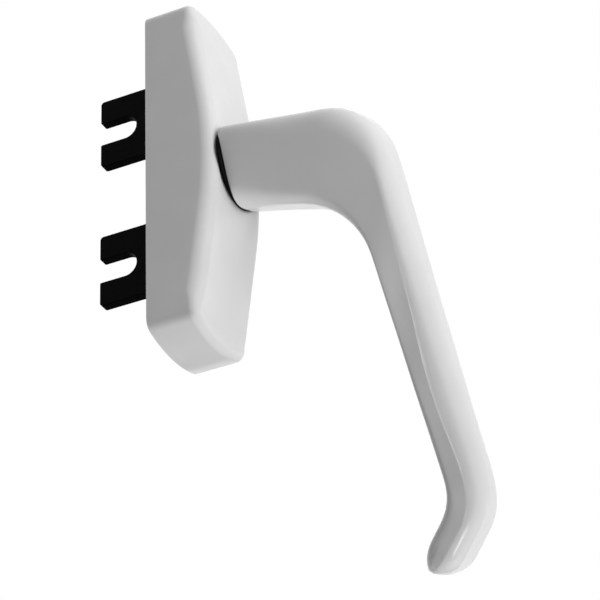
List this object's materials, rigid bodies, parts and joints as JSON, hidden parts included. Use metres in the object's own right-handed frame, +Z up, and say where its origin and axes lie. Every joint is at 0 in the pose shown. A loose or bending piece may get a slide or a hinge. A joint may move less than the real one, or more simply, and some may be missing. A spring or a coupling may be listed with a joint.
{
  "type": "casement window fastener",
  "caption": "Cranked lever handle on a long slim housing; turning it drives racks with rear forks that move a window's locking rods.",
  "frame": {"origin": "point of the mounting face on the turning axis of the lever", "axes": "+Z up along the sash, +Y out of the mounting face into the sash, -Y towards the user, +X to the user's right"},
  "size_m": [0.059, 0.0784, 0.1406],
  "materials": {
    "white_paint": "semi-gloss powder coat on a zinc die casting",
    "black_coat": "satin black coating on pressed steel",
    "black_plastic": "moulded black acetal",
    "zinc_steel": "zinc plated",
    "gear_steel": "machined",
    "spring_steel": "blued spring steel",
    "screw_steel": "bright zinc plated",
    "brass": "turned"
  },
  "bodies": {
    "housing": {"cover": "white_paint", "base_plate": "zinc_steel", "bridge_plate": "zinc_steel", "bridge_screws": "screw_steel", "cover_screws": "screw_steel", "fixing_inserts": "brass", "neck_bush": "black_plastic", "left_spring": "spring_steel", "right_spring": "spring_steel"},
    "lever": {"handle": "white_paint", "spindle": "gear_steel", "cross_pin": "gear_steel", "pinion": "gear_steel", "detent_cam": "gear_steel", "retaining_ring": "spring_steel", "thrust_washer": "spring_steel", "friction_washer": "black_plastic"},
    "upper_slider": {"upper_rack": "zinc_steel", "upper_fork": "black_coat", "upper_rivets": "screw_steel"},
    "lower_slider": {"lower_rack": "zinc_steel", "lower_fork": "black_coat", "lower_rivets": "screw_steel"}
  },
  "joints": [
    {"name": "lever_turn", "type": "hinge", "parent": "housing", "child": "lever", "pos_m": [0, 0, 0], "axis": [0, -1, 0], "range_deg": [-24, 66]},
    {"name": "upper_slide", "type": "slide", "parent": "housing", "child": "upper_slider", "axis": [0, 0, -1], "range_m": [-0.00294, 0.00807]},
    {"name": "lower_slide", "type": "slide", "parent": "housing", "child": "lower_slider", "axis": [0, 0, 1], "range_m": [-0.00294, 0.00807]}
  ],
  "couplings": [
    {"joint": "upper_slide", "follows": "lever_turn", "m_per_rad": 0.007},
    {"joint": "lower_slide", "follows": "lever_turn", "m_per_rad": 0.007}
  ]
}
